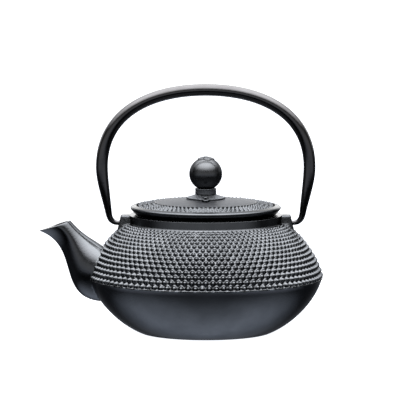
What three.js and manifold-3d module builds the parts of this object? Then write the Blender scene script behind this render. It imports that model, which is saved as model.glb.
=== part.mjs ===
// Cast iron teapot, 600 ml, with a swinging bail handle, a lift-off lid and a
// stainless steel infuser. Millimetres, +Z up. The origin is the centre of the
// flat base, on the pot's axis. The spout points to -X and the bail swings
// about an axis along X, through the two ears on the shoulder.
import * as THREE from "three";
import { mergeVertices } from "three/addons/utils/BufferGeometryUtils.js";
import Module from "manifold-3d";

const wasm = await Module();
wasm.setup();

// ---------------------------------------------------------------- dimensions

const GAP = 0.3; // clearance between pieces that rest on or touch each other

const POT = {
  baseRadius: 38.4,
  baseEdge: 0.5, // rounding of the base's edge
  bellyRadius: 68.6, // smooth bowl at the parting line
  bellyHeight: 31.5,
  bowlPull: [[51, 5], [64.35, 17.5]], // inner handles of the bowl's cubic outline
  crestRadius: 69.9, // crests of the studded shoulder at the parting line
  crestHeight: 32.5,
  neckFootRadius: 46,
  neckFootHeight: 65.2,
  shoulderPull: [[67.1, 46], [54.9, 61.1]], // and of the shoulder's
  neckRadius: 45,
  rimHeight: 69.7,
  wall: 3.6, // under the bowl's skin
  shoulderWall: 4.8, // under the crests of the studs
  floor: 3.8,
  mouthRadius: 39.2, // above the ledge that carries the infuser
  ledgeHeight: 65.3,
  ledgeRadius: 36.5,
  throatHeight: 60.8, // where the shoulder's inside reaches the neck
  throatChamfer: 1.2,
};

// The underside and the top line are cubics of [x, z] points, from the pot to
// the mouth. The underside ends at the pouring lip.
const SPOUT = {
  under: [[-62.4, 18.2], [-89.0, 20.9], [-73.6, 51.5], [-98.5, 60.1]],
  over: [[-63.1, 52.6], [-68.9, 56.4], [-73.6, 58.7], [-79.9, 66.3]],
  rootHalfWidth: 14.2,
  mouthHalfWidth: 6.5,
  rootEgg: 0.05, // how much narrower the section is along the underside
  mouthEgg: 0.42,
  rimWall: 1.7,
  rootWall: 3.6,
  rootRun: 0.12, // how far the horn runs on into the pot's wall, as a share of its length
  passageRun: 0.2, // how far its passage does
  mouthRun: 0.06,
};

const EAR = {
  faceX: 51.2, // outer face, at the height of the bail's axis
  rootX: 41.5,
  halfWidth: 6, // at the outer face
  rootHalfWidth: 10.8, // where it leaves the neck
  waistX: 46.4, // where the flare to the neck ends
  waistHalfWidth: 7.4,
  flare: [1.5, 0.8], // from the waist to the flare's handle
  corner: 1.5, // rounding of the outer corners
  lean: 3.3, // how much further out the face would stand at the foot than at the top
  spread: 0.2, // how much wider the foot is than the top, as a share
  foot: 56,
};

const BAIL = {
  axisHeight: 64.8,
  topHeight: 143.5, // centre line of the grip
  topPull: 34.5, // handle of the arch's cubic, along X
  reach: 61.2, // centre line at the widest point
  reachHeight: 97.8,
  reachPull: [31.2, 7.8], // handles up to the arch and down the leg
  footPull: [58.6, 79.5],
  foot: [57.3, 71], // where the leg begins to turn in
  bendPull: [56.8, 67.4],
  tipPull: 55.4,
  tip: 51.6, // where the pin begins
  thickness: 7.1,
  footThickness: 3.3,
  taper: [62, 97], // heights between which the legs thicken
  pinTaper: [56.6, 52], // X between which they narrow to the pins
  pinRadius: 1.4,
  pinEnd: 47.2,
  holeEnd: 46.6,
  holeRadius: 1.8,
  gripWidth: 9.6, // front to back
};

const LID = {
  rimRadius: 44.5,
  rimHeight: 73.9,
  seatRadius: 41.3,
  crownHeight: 79.4,
  domeRadius: 207,
  plateauRadius: 10.4, // flat land under the knob's seat plate
  skirtRadius: 38.5,
  skirtInner: 36.2,
  skirtBottom: 66.8,
  rimEdge: 0.6,
  underRimHeight: 71.4, // underside of the dome, at the skirt and at the screw
  underHeight: 76,
  underLand: 8, // flat land under the washer
  boltHole: 2.5,
};

const VENT = { radius: 2.2, hole: 1.2, place: 15, lean: 0.4, height: 2.1, length: 7 };

const KNOB = {
  plateRadius: 11.55,
  plateEdge: 0.7,
  plateBevel: 0.3,
  platePull: [[9.6, 80.35], [8.6, 80.6], [7.3, 80.9]], // cubic from the edge to the top
  plateTop: 81.6,
  collarRadius: 6.3,
  collarTop: 85.3,
  collarRecess: 4.7,
  recessDepth: 0.9,
  ballRadius: 9.75,
  ballHeight: 93.9,
  neckRadius: 4.1,
  threadRadius: 2.3,
  threadTop: 92,
};

const SCREW = { radius: 2, headRadius: 4.2, headHeight: 2.2, top: 90.8, slot: 0.9 };
const WASHER = { radius: 6, thickness: 1 };

const INFUSER = {
  sheet: 0.8, // pressed rims
  weave: 0.5, // woven wall and base
  rimRadius: 38.6,
  collarRadius: 35.8,
  collarBottom: 60.6,
  wallTopRadius: 34.6,
  wallBottomRadius: 32.6,
  bottom: 19.6,
  ringRadius: 33.8,
  ringTop: 23.4,
  landRadius: 29.4,
};

const SEGMENTS = {
  pot: 48,
  lid: 48,
  small: 24,
  infuser: 40,
  bail: 14,
  bailSteps: 64,
  spout: 20,
};

// ----------------------------------------------------------------- materials

const finish = (colour, roughness, metalness) =>
  new THREE.MeshStandardMaterial({ color: colour, roughness, metalness });

const blackIron = finish(0x2b2c31, 0.45, 0.35);
const bareSteel = finish(0xb9bcc0, 0.3, 0.95);
const meshSteel = finish(0xa4a8ac, 0.42, 0.9);

// ------------------------------------------------------------- solid helpers

// A manifold solid from a closed three.js geometry.
function solid(geometry) {
  const bare = new THREE.BufferGeometry();
  bare.setAttribute("position", geometry.getAttribute("position").clone());
  if (geometry.index) bare.setIndex(geometry.index.clone());
  const merged = mergeVertices(bare, 1e-4);
  return new wasm.Manifold(
    new wasm.Mesh({
      numProp: 3,
      vertProperties: merged.attributes.position.array,
      triVerts: new Uint32Array(merged.index.array),
    }),
  );
}

// A three.js geometry from a manifold solid.
function geometryOf(manifold) {
  const mesh = manifold.getMesh();
  const geometry = new THREE.BufferGeometry();
  geometry.setAttribute("position", new THREE.BufferAttribute(mesh.vertProperties, 3));
  geometry.setIndex(new THREE.BufferAttribute(mesh.triVerts, 1));
  geometry.computeVertexNormals();
  return geometry;
}

// A profile of [radius, height] points, anticlockwise in the (r, z) half plane,
// turned round Z.
function turned(profile, segments) {
  const points = profile.map(([r, z]) => new THREE.Vector2(r, z));
  const geometry = new THREE.LatheGeometry(points, segments);
  return geometry.rotateX(Math.PI / 2);
}

// The points of a cubic curve in the (r, z) plane, both ends included.
function cubic(a, b, c, d, steps) {
  const [p, q, r, s] = [a, b, c, d].map(([x, y]) => new THREE.Vector2(x, y));
  return new THREE.CubicBezierCurve(p, q, r, s)
    .getPoints(steps)
    .map((point) => [point.x, point.y]);
}

// A closed bar whose section at t (0 to 1 along it) is placed by a function of
// t and of a unit circle's (u, v). It is a cylinder bent to its final shape.
function bent(sides, steps, place) {
  const geometry = new THREE.CylinderGeometry(1, 1, 1, sides, steps);
  const position = geometry.getAttribute("position");
  for (let i = 0; i < position.count; i += 1) {
    const t = position.getY(i) + 0.5;
    const [x, y, z] = place(t, position.getX(i), position.getZ(i));
    position.setXYZ(i, x, y, z);
  }
  return geometry;
}

const lerp = THREE.MathUtils.lerp;
const smooth = THREE.MathUtils.smoothstep;

// A piece of the round stack on the pot's axis, with a hole through it.
function ring(profile, segments) {
  return turned([...profile, profile[0]], segments);
}

function named(name, geometry, material) {
  const mesh = new THREE.Mesh(geometry, material);
  mesh.name = name;
  return mesh;
}

// ----------------------------------------------------------------- pot casting

// Smooth bowl below the parting line, from the base's edge to the belly; inset
// and lift move it inwards and up for the inside.
function bowlCurve(inset, lift, steps) {
  const [low, high] = POT.bowlPull;
  return cubic(
    [POT.baseRadius - inset, lift],
    [low[0] - inset, low[1] + lift * 0.6],
    [high[0] - inset, high[1] + lift * 0.2],
    [POT.bellyRadius - inset, POT.bellyHeight],
    steps,
  );
}

// Shoulder over the crests of the studs, from the belly up to the neck.
function shoulderCurve(inset, drop, steps) {
  const [low, high] = POT.shoulderPull;
  return cubic(
    [POT.crestRadius - inset, POT.crestHeight],
    [low[0] - inset, low[1] - drop / 2],
    [high[0] - inset, high[1] - drop],
    [POT.neckFootRadius - inset, POT.neckFootHeight - drop],
    steps,
  );
}

function potOutside() {
  const edge = POT.baseEdge;
  const bowl = bowlCurve(0, 0, 9).slice(1);
  return solid(
    turned(
      [
        [0, 0],
        [POT.baseRadius - edge, 0],
        [POT.baseRadius + edge, edge * 0.4],
        ...bowl,
        ...shoulderCurve(0, 0, 8),
        [POT.neckRadius, POT.neckFootHeight],
        [POT.neckRadius, POT.rimHeight - edge],
        [POT.neckRadius - edge, POT.rimHeight],
        [0, POT.rimHeight],
      ],
      SEGMENTS.pot,
    ),
  );
}

// The hollow inside the casting, open through the mouth.
function potHollow() {
  const { ledgeRadius, ledgeHeight, throatHeight, throatChamfer, mouthRadius } = POT;
  const aboveRim = POT.rimHeight + POT.wall;
  return solid(
    turned(
      [
        [0, POT.floor],
        ...bowlCurve(POT.wall, POT.floor, 7),
        ...shoulderCurve(POT.shoulderWall, POT.wall, 7).slice(0, -1),
        [ledgeRadius + POT.wall - 0.6, throatHeight],
        [ledgeRadius, throatHeight + throatChamfer],
        [ledgeRadius, ledgeHeight],
        [mouthRadius, ledgeHeight],
        [mouthRadius, aboveRim],
        [0, aboveRim],
      ],
      SEGMENTS.pot,
    ),
  );
}

// A point of one of the spout's outlines, which run on straight past their ends.
function spoutPoint(outline, t) {
  const curve = new THREE.CubicBezierCurve(...outline.map(([x, z]) => new THREE.Vector2(x, z)));
  const onCurve = THREE.MathUtils.clamp(t, 0, 1);
  const runOut = (t - onCurve) * curve.getLength();
  return curve.getPoint(onCurve).addScaledVector(curve.getTangent(onCurve), runOut);
}

// The horn of the spout. Its section is an egg, narrower along the underside,
// and it ends in a flat mouth with a pointed pouring lip. The walls are left
// off for the passage, and pastRoot and pastMouth run it on at its ends.
function spoutHorn(wallAtRoot, wallAtMouth, pastRoot, pastMouth) {
  return solid(
    bent(SEGMENTS.spout, 14, (s, u, v) => {
      const t = lerp(-pastRoot, 1 + pastMouth, s);
      const inside = THREE.MathUtils.clamp(t, 0, 1);
      const wall = lerp(wallAtRoot, wallAtMouth, inside);
      const low = spoutPoint(SPOUT.under, t);
      const high = spoutPoint(SPOUT.over, t);
      const middle = low.clone().add(high).multiplyScalar(0.5);
      const half = high.clone().sub(low).multiplyScalar(0.5);
      const reach = 1 - wall / half.length();
      const wide = lerp(SPOUT.rootHalfWidth, SPOUT.mouthHalfWidth, smooth(inside, -0.2, 0.9));
      const narrow = lerp(SPOUT.rootEgg, SPOUT.mouthEgg, smooth(inside, 0.2, 1));
      const egg = 1 - narrow * Math.max(0, 0.25 - v) ** 1.5;
      return [middle.x + half.x * v * reach, u * (wide - wall) * egg, middle.y + half.y * v * reach];
    }),
  );
}

// One ear: a block on the shoulder that flares out to meet the neck.
function ear(side) {
  const { rootX, faceX, halfWidth, rootHalfWidth, waistX, waistHalfWidth, corner } = EAR;
  const flare = [waistX - EAR.flare[0], waistHalfWidth + EAR.flare[1]];
  const outline = new THREE.Shape();
  outline.moveTo(rootX, -rootHalfWidth);
  outline.quadraticCurveTo(flare[0], -flare[1], waistX, -waistHalfWidth);
  outline.lineTo(faceX - corner, -halfWidth);
  outline.quadraticCurveTo(faceX, -halfWidth, faceX, -halfWidth + corner);
  outline.lineTo(faceX, halfWidth - corner);
  outline.quadraticCurveTo(faceX, halfWidth, faceX - corner, halfWidth);
  outline.lineTo(waistX, waistHalfWidth);
  outline.quadraticCurveTo(flare[0], flare[1], rootX, rootHalfWidth);
  const height = POT.rimHeight - EAR.foot;
  const block = new THREE.ExtrudeGeometry(outline, {
    depth: height,
    steps: 2,
    curveSegments: 3,
    bevelEnabled: false,
  });
  // The outer face leans out to the foot, and stands at faceX level with the bail's axis.
  const axisLevel = (BAIL.axisHeight - EAR.foot) / height;
  const position = block.getAttribute("position");
  for (let i = 0; i < position.count; i += 1) {
    const level = position.getZ(i) / height;
    const outwards = smooth(position.getX(i), rootX, faceX);
    position.setX(i, position.getX(i) + EAR.lean * outwards * (axisLevel - level));
    position.setY(i, position.getY(i) * (1 + EAR.spread * (1 - level)));
  }
  block.translate(0, 0, EAR.foot);
  return solid(side > 0 ? block : block.rotateZ(Math.PI));
}

// The blind hole in an ear that holds one tip of the bail.
function pivotHole(side) {
  const length = 12;
  const hole = new THREE.CylinderGeometry(BAIL.holeRadius, BAIL.holeRadius, length, 16);
  hole.rotateZ(Math.PI / 2);
  hole.translate(side * (BAIL.holeEnd + length / 2), 0, BAIL.axisHeight);
  return solid(hole);
}

function potBody() {
  const { rootWall, rimWall, rootRun, passageRun, mouthRun } = SPOUT;
  const outside = [spoutHorn(0, 0, rootRun, 0), ear(1), ear(-1)].reduce(
    (whole, piece) => whole.add(piece),
    potOutside(),
  );
  const passage = spoutHorn(rootWall, rimWall, passageRun, mouthRun);
  return [potHollow(), passage, pivotHole(1), pivotHole(-1)].reduce(
    (whole, cut) => whole.subtract(cut),
    outside,
  );
}

// ------------------------------------------------------------------------ bail

// Half of the bail's centre line, from the top of the grip to one tip.
function bailHalf() {
  const point = (x, z) => new THREE.Vector3(x, 0, z);
  const path = new THREE.CurvePath();
  const { reach, reachHeight, topHeight, axisHeight, tip } = BAIL;
  const [up, down] = BAIL.reachPull;
  path.add(
    new THREE.CubicBezierCurve3(
      point(0, topHeight),
      point(BAIL.topPull, topHeight),
      point(reach, reachHeight + up),
      point(reach, reachHeight),
    ),
  );
  path.add(
    new THREE.CubicBezierCurve3(
      point(reach, reachHeight),
      point(reach, reachHeight - down),
      point(...BAIL.footPull),
      point(...BAIL.foot),
    ),
  );
  path.add(
    new THREE.CubicBezierCurve3(
      point(...BAIL.foot),
      point(...BAIL.bendPull),
      point(BAIL.tipPull, axisHeight),
      point(tip, axisHeight),
    ),
  );
  path.add(new THREE.LineCurve3(point(tip, axisHeight), point(BAIL.pinEnd, axisHeight)));
  return path;
}

// Half of the bar's thickness across the arch and from front to back, at a
// height on the legs; the tips are round pins.
function bailSection(point) {
  const { thickness, footThickness, gripWidth, pinRadius, taper, pinTaper } = BAIL;
  const onArch = point.z > taper[1];
  const onTip = onArch ? 0 : smooth(pinTaper[0] - point.x, 0, pinTaper[0] - pinTaper[1]);
  const up = smooth(point.z, ...taper);
  const leg = lerp(footThickness, thickness, up) / 2;
  const depth = lerp(leg * 1.12, gripWidth / 2, up);
  return [lerp(leg, pinRadius, onTip), lerp(depth, pinRadius, onTip)];
}

function bailHandle() {
  const half = bailHalf();
  return solid(
    bent(SEGMENTS.bail, SEGMENTS.bailSteps, (t, u, v) => {
      const fromTop = Math.abs(2 * t - 1);
      const side = t < 0.5 ? -1 : 1;
      const point = half.getPointAt(fromTop);
      const tangent = half.getTangentAt(fromTop);
      const [across, depth] = bailSection(point);
      const outward = new THREE.Vector2(-tangent.z, tangent.x);
      const square = 1 + 0.06 * (1 - Math.abs(u * u - v * v));
      const out = -v * across * square;
      return [
        side * (point.x + outward.x * out),
        u * depth * square,
        point.z + outward.y * out,
      ];
    }),
  );
}

// ------------------------------------------------------------------------- lid

const domeHeight = (r) => LID.crownHeight - (r * r) / (2 * LID.domeRadius);

function lidShell() {
  const { rimRadius, rimHeight, rimEdge, plateauRadius, skirtInner, skirtRadius } = LID;
  const { skirtBottom, seatRadius, underHeight, underRimHeight, underLand, boltHole } = LID;
  const land = domeHeight(plateauRadius + 1);
  const seat = POT.rimHeight + GAP;
  const steps = 6;
  const dome = Array.from({ length: steps }, (_, i) => {
    const r = lerp(rimRadius - rimEdge, plateauRadius + 1, (i + 1) / steps);
    return [r, domeHeight(r)];
  });
  const under = [0, 1, 2, 3, 4].map((i) => {
    const r = lerp(underLand, skirtInner, i / 4);
    return [r, lerp(underHeight, underRimHeight, (r / skirtInner) ** 2)];
  });
  return solid(
    ring(
      [
        [boltHole, underHeight],
        [underLand, underHeight],
        ...under.slice(1),
        [skirtInner, skirtBottom],
        [skirtRadius, skirtBottom],
        [skirtRadius, seat],
        [seatRadius, seat],
        [rimRadius - rimEdge, rimHeight - 2 * rimEdge],
        [rimRadius, rimHeight],
        [rimRadius - rimEdge, rimHeight + rimEdge],
        ...dome,
        [plateauRadius, land],
        [boltHole, land],
      ],
      SEGMENTS.lid,
    ),
  );
}

// A cylinder that leans towards -Y, standing on the dome where the vent is.
function ventCylinder(radius, from, to) {
  const shaft = new THREE.CylinderGeometry(radius, radius, to - from, 16);
  shaft.translate(0, (to + from) / 2, 0);
  shaft.rotateX(Math.PI / 2 + VENT.lean);
  shaft.translate(0, -VENT.place, domeHeight(VENT.place));
  return solid(shaft);
}

function lid() {
  const boss = ventCylinder(VENT.radius, -1.5, VENT.height);
  const hole = ventCylinder(VENT.hole, -VENT.length, VENT.length);
  return lidShell().add(boss).subtract(hole);
}

// ------------------------------------------------------------------ knob stack

function seatPlate() {
  const bottom = domeHeight(LID.plateauRadius + 1) + GAP;
  const { plateRadius, plateEdge, plateBevel, platePull, plateTop, collarRadius } = KNOB;
  return ring(
    [
      [LID.boltHole, bottom],
      [plateRadius - plateBevel, bottom],
      [plateRadius, bottom + plateBevel],
      [plateRadius - plateBevel, bottom + plateEdge],
      ...cubic(...platePull, [collarRadius + 0.1, plateTop], 4),
      [LID.boltHole, plateTop],
    ],
    SEGMENTS.small + 12,
  );
}

function collar() {
  const bottom = KNOB.plateTop + GAP;
  const { collarRadius, collarTop, collarRecess, recessDepth } = KNOB;
  return ring(
    [
      [LID.boltHole, bottom],
      [collarRadius, bottom],
      [collarRadius, collarTop - 0.3],
      [collarRadius - 0.3, collarTop],
      [collarRecess, collarTop],
      [collarRecess, collarTop - recessDepth],
      [LID.boltHole, collarTop - recessDepth],
    ],
    SEGMENTS.small + 4,
  );
}

function knob() {
  const bottom = KNOB.collarTop - KNOB.recessDepth + GAP;
  const { ballRadius, ballHeight, neckRadius, threadRadius, threadTop } = KNOB;
  const foot = -Math.acos(neckRadius / ballRadius) + 0.02;
  const ball = Array.from({ length: 13 }, (_, i) => {
    const angle = lerp(foot, Math.PI / 2, i / 12);
    const r = i === 12 ? 0 : ballRadius * Math.cos(angle);
    return [r, ballHeight + ballRadius * Math.sin(angle)];
  });
  return turned(
    [
      [0, threadTop],
      [threadRadius, threadTop - 0.8],
      [threadRadius, bottom],
      [neckRadius, bottom],
      ...ball,
    ],
    SEGMENTS.small + 4,
  );
}

function washer() {
  const top = LID.underHeight - GAP;
  return ring(
    [
      [LID.boltHole, top - WASHER.thickness],
      [WASHER.radius, top - WASHER.thickness],
      [WASHER.radius, top],
      [LID.boltHole, top],
    ],
    SEGMENTS.small,
  );
}

// A pan head machine screw, put in from below, with a straight slot.
function screw() {
  const seat = LID.underHeight - 2 * GAP - WASHER.thickness;
  const bottom = seat - SCREW.headHeight;
  const body = turned(
    [
      [0, bottom],
      [SCREW.headRadius - 0.9, bottom],
      [SCREW.headRadius, bottom + 0.8],
      [SCREW.headRadius, seat],
      [SCREW.radius, seat],
      [SCREW.radius, SCREW.top - 0.5],
      [SCREW.radius - 0.5, SCREW.top],
      [0, SCREW.top],
    ],
    SEGMENTS.small,
  );
  const slot = new THREE.BoxGeometry(SCREW.headRadius * 3, SCREW.slot, 2);
  slot.translate(0, 0, bottom);
  return solid(body).subtract(solid(slot));
}

// --------------------------------------------------------------------- infuser

function infuserRim() {
  const { sheet, rimRadius, collarRadius, collarBottom } = INFUSER;
  const bottom = POT.ledgeHeight + GAP;
  return ring(
    [
      [collarRadius - sheet, collarBottom],
      [collarRadius, collarBottom],
      [collarRadius, bottom],
      [rimRadius, bottom],
      [rimRadius, bottom + sheet],
      [collarRadius - sheet, bottom + sheet],
    ],
    SEGMENTS.infuser,
  );
}

function infuserWall() {
  const { sheet, weave, wallTopRadius, wallBottomRadius, bottom } = INFUSER;
  const low = bottom + sheet + GAP;
  const high = POT.ledgeHeight - GAP;
  return ring(
    [
      [wallBottomRadius - weave, low],
      [wallBottomRadius, low],
      [wallTopRadius, high],
      [wallTopRadius - weave, high],
    ],
    SEGMENTS.infuser,
  );
}

function infuserBaseRing() {
  const { sheet, ringRadius, ringTop, landRadius, bottom } = INFUSER;
  return ring(
    [
      [landRadius, bottom],
      [ringRadius, bottom],
      [ringRadius, ringTop],
      [ringRadius - sheet, ringTop],
      [ringRadius - sheet, bottom + sheet],
      [landRadius, bottom + sheet],
    ],
    SEGMENTS.infuser,
  );
}

function infuserBaseMesh() {
  const { sheet, weave, wallBottomRadius, bottom } = INFUSER;
  const radius = wallBottomRadius - weave - GAP;
  const disc = new THREE.CylinderGeometry(radius, radius, weave, SEGMENTS.infuser);
  return disc.rotateX(Math.PI / 2).translate(0, 0, bottom + sheet + GAP + weave / 2);
}

// -------------------------------------------------------------------- assembly

const teapot = new THREE.Group();
teapot.name = "cast_iron_teapot";

const potGroup = new THREE.Group();
potGroup.add(named("pot_body", geometryOf(potBody()), blackIron));

const bailGroup = new THREE.Group();
bailGroup.add(named("bail_handle", geometryOf(bailHandle()), blackIron));

const lidGroup = new THREE.Group();
lidGroup.add(
  named("lid", geometryOf(lid()), blackIron),
  named("knob_seat_plate", seatPlate(), blackIron),
  named("knob_collar", collar(), blackIron),
  named("lid_knob", knob(), blackIron),
  named("knob_washer", washer(), bareSteel),
  named("knob_screw", geometryOf(screw()), bareSteel),
);

const infuserGroup = new THREE.Group();
infuserGroup.add(
  named("infuser_rim", infuserRim(), bareSteel),
  named("infuser_wall", infuserWall(), meshSteel),
  named("infuser_base_ring", infuserBaseRing(), bareSteel),
  named("infuser_base_mesh", infuserBaseMesh(), meshSteel),
);

teapot.add(potGroup, bailGroup, lidGroup, infuserGroup);

export default teapot;
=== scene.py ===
"""Looks of the cast iron teapot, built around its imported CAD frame.

Sizes are in millimetres until a mesh is made, then metres, in the row frame: +Z up, the
origin in the middle of the base, the spout towards -X. Each iron piece follows the outline
of the CAD node that it stands for, with the studs, nubs, fillets and weave added.
"""

import math

import bmesh
import bpy
import numpy as np
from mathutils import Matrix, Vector
from mathutils.bvhtree import BVHTree


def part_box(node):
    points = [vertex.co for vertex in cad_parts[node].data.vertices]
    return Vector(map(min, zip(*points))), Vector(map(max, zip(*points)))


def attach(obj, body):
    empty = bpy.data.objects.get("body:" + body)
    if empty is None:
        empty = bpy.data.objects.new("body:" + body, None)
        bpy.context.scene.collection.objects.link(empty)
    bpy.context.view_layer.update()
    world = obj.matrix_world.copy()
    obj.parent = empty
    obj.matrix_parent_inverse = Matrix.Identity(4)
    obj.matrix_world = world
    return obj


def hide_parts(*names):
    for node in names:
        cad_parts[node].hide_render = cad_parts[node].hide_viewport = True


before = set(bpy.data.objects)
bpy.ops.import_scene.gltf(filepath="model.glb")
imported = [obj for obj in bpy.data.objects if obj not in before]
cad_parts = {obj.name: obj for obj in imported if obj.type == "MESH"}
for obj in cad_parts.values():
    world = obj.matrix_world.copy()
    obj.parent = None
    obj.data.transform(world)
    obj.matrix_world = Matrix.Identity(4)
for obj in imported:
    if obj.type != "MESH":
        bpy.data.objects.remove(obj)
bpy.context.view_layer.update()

MM = 0.001
TURN = 2 * math.pi
STEPS_8 = np.linspace(0, 1, 8)


def span(node):
    """Lowest and highest corner of a CAD node, in millimetres."""
    low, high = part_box(node)
    return np.array(low) / MM, np.array(high) / MM


# ------------------------------------------------------------------ sizes from the frame

POT_LOW, POT_HIGH = span("pot_body")
_, BAIL_HIGH = span("bail_handle")
LID_LOW, LID_HIGH = span("lid")
PLATE_LOW, PLATE_HIGH = span("knob_seat_plate")
COLLAR_LOW, COLLAR_HIGH = span("knob_collar")
KNOB_LOW, KNOB_HIGH = span("lid_knob")
WASHER_LOW, WASHER_HIGH = span("knob_washer")
SCREW_LOW, SCREW_HIGH = span("knob_screw")
RIM_LOW, RIM_HIGH = span("infuser_rim")
WALL_LOW, WALL_HIGH = span("infuser_wall")
RING_LOW, RING_HIGH = span("infuser_base_ring")
DISC_LOW, DISC_HIGH = span("infuser_base_mesh")

CREST_RADIUS = POT_HIGH[0]  # crests of the studs at the parting line
RIM_HEIGHT = POT_HIGH[2]  # top of the pot's neck
LIP_X = POT_LOW[0]  # tip of the pouring lip
LID_RADIUS = LID_HIGH[0]
BALL_RADIUS = KNOB_HIGH[0]
BALL_HEIGHT = KNOB_HIGH[2] - BALL_RADIUS

# ------------------------------------------------------------------ sizes of the casting

BASE_RADIUS = 38.4
BELLY = (68.6, 31.5)  # radius and height where the smooth bowl ends
BOWL_PULL = ((51, 5), (64.35, 17.5))
CREST_HEIGHT = 32.5
NECK_FOOT = (46, 65.2)
SHOULDER_PULL = ((67.1, 46), (54.9, 61.1))
NECK_RADIUS = 45
WALL = 3.6  # thickness of the bowl
SHOULDER_WALL = 4.8
FLOOR = 3.8  # thickness of the pot's bottom
MOUTH_RADIUS = 39.2
LEDGE_HEIGHT = 65.3
LEDGE_RADIUS = 36.5
THROAT_HEIGHT = 60.8

STUDS_ROUND = 104  # studs in each row
STUD_COLUMNS = 8  # mesh columns for each stud
STUD_LEVELS = 6  # mesh levels for each row
RIDGE_SHARE = 0.62  # height of the ridge at the parting line, as a share of a stud
BARE_SHARE = 0.22  # height of the plain skin beside the spout, the ears and the neck
ROW_SPACING = 0.047  # distance between rows, as a share of the radius
STUD_HEIGHT = (0.5, 0.43)  # at the belly and at the neck, over the distance between studs
STUD_REACH = 0.55  # radius of a stud's foot, likewise
STUD_POINT = 0.15  # 0 is a bell and 1 is a straight cone
STUD_SHARP = 60  # degrees between faces from which an edge of the studded skin is a crease
STUD_DROOP = 0.08  # how far the tip sits below the middle of the foot, likewise
STUD_SEED = 7
FILLET = 0.8  # where the studded shoulder runs into the spout and the ears
BARE_MARGIN = 1.3  # studs fade out over this distance from them
COARSE_COLUMNS = 208

SPOUT_UNDER = ((-62.4, 18.2), (-89.0, 20.9), (-73.6, 51.5), (LIP_X, 60.1))
SPOUT_OVER = ((-63.1, 52.6), (-68.9, 56.4), (-73.6, 58.7), (-79.9, 66.3))
SPOUT_HALF_WIDTH = (14.2, 6.5)  # at the root and at the mouth
SPOUT_EGG = (0.05, 0.42)
SPOUT_WALL = (3.6, 1.7)
SPOUT_COLUMNS = 64
LIP_ROUND = 0.55
LIP_SHARE = 0.011  # the rounding of the lip, as a share of the spout's length

EAR_ROOT = (41.5, 10.8)  # X and half width
EAR_WAIST = (46.4, 7.4)
EAR_FLARE = (44.9, 8.2)
EAR_FACE = (51.2, 6)
EAR_FOOT = 56
EAR_LEAN = 3.3
EAR_SPREAD = (1.2, 0.7)  # share of those half widths at its foot and at its top
EAR_CORNER = 1.5
EAR_ROUND = 1.0
AXIS_HEIGHT = 64.8  # the bail's axis
HOLE_RADIUS = 1.8
HOLE_END = 46.6

BAIL_TOP = 143.5  # of its middle line
GRIP_THICKNESS = 2 * (BAIL_HIGH[2] - BAIL_TOP)
GRIP_WIDTH = 9.6
FOOT_THICKNESS = 3.3
PIN_RADIUS = 1.4
PIN_END = 47.2

LID_CROWN = 79.4
DOME_RADIUS = 207
LID_UNDER = 76
SKIRT_TOP = 71.4
SKIRT_INNER = 36.2
SKIRT_OUTER = 38.5
SEAT_HEIGHT = 70.0
SEAT_RADIUS = 41.3
BOLT_HOLE = 2.5
NUBS_ROUND = 76
NUB_COLUMNS = 8
NUB_RADII = (39.5, 36.8, 34.1, 31.4)
NUB_SPACING = 2.7
NUB_ZONE = (41.0, 30.1)
NUB_REACH = (0.56, 0.4)  # half width of a nub along its ring and across it, over the spacing
NUB_POINT = 0.15
NUB_HEIGHT = 1.7
NUB_GROOVE = 1.2
VENT_PLACE = 15
VENT_LEAN = 0.4
VENT_RADIUS = 2.2
VENT_HOLE = 1.2
VENT_HEIGHT = 2.1

COLLAR_RECESS = 4.7
KNOB_NECK = 4.1
THREAD_RADIUS = 2.3
THREAD_TOP = 92
PETALS = 5
ROSETTE_RADIUS = 5.4
ROSETTE_HEIGHT = 0.6

SHEET = 0.8
COLLAR_OUTSIDE = 35.8
WALL_TAPER = 2.0
WIRE_RADIUS = 0.14
WEAVE_PITCH = 1.5

# -------------------------------------------------------------------- camera and light

VIEW_ELEVATION = 6.015
VIEW_DISTANCE = 2500
VIEW_WIDTH = 236  # seen across the picture at the target
VIEW_TARGET = (-3.36, 0, 78.3)
FLOOR_COLOUR = (0.78, 0.8, 0.84)
FLOOR_GLOW = 1.15  # keeps the paper white where the pot shades it
FLOOR_DROP = 0.02  # keeps it clear of the pot's base
SUN_STRENGTH = 2.4  # the soft light that falls on the floor
SKY_EDGE = (25, 62)  # degrees above the horizon between which the sky gets bright
SKY_BRIGHT = 16.5
FRONT_LIGHT = 1.3  # a low band in front of the pot
WALL_LIGHT = 3.6  # of the pale wall behind the pot
TABLE_LIGHT = (0.55, 3.8)  # from below, in front and behind
COOL_LIGHT = (0.87, 0.94, 1.07)  # its colour

# -------------------------------------------------------------------------- small maths


def lerp(a, b, t):
    return a + (b - a) * t


def smooth(x, low, high):
    t = np.clip((x - low) / (high - low), 0, 1)
    return t * t * (3 - 2 * t)


def cubic(a, b, c, d, t):
    """Points of a cubic curve at t, an array or a number."""
    a, b, c, d = (np.array(p, float) for p in (a, b, c, d))
    t = np.asarray(t, float)[..., None]
    s = 1 - t
    return a * s**3 + 3 * b * s**2 * t + 3 * c * s * t**2 + d * t**3


def evenly(points, count):
    """count points spaced evenly by length along a dense line of points."""
    steps = np.linalg.norm(np.diff(points, axis=0), axis=1)
    along = np.concatenate([[0], np.cumsum(steps)])
    return at_length(points, along, np.linspace(0, along[-1], count))


def at_length(points, along, wanted):
    return np.stack([np.interp(wanted, along, points[:, k]) for k in range(points.shape[1])], 1)


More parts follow.
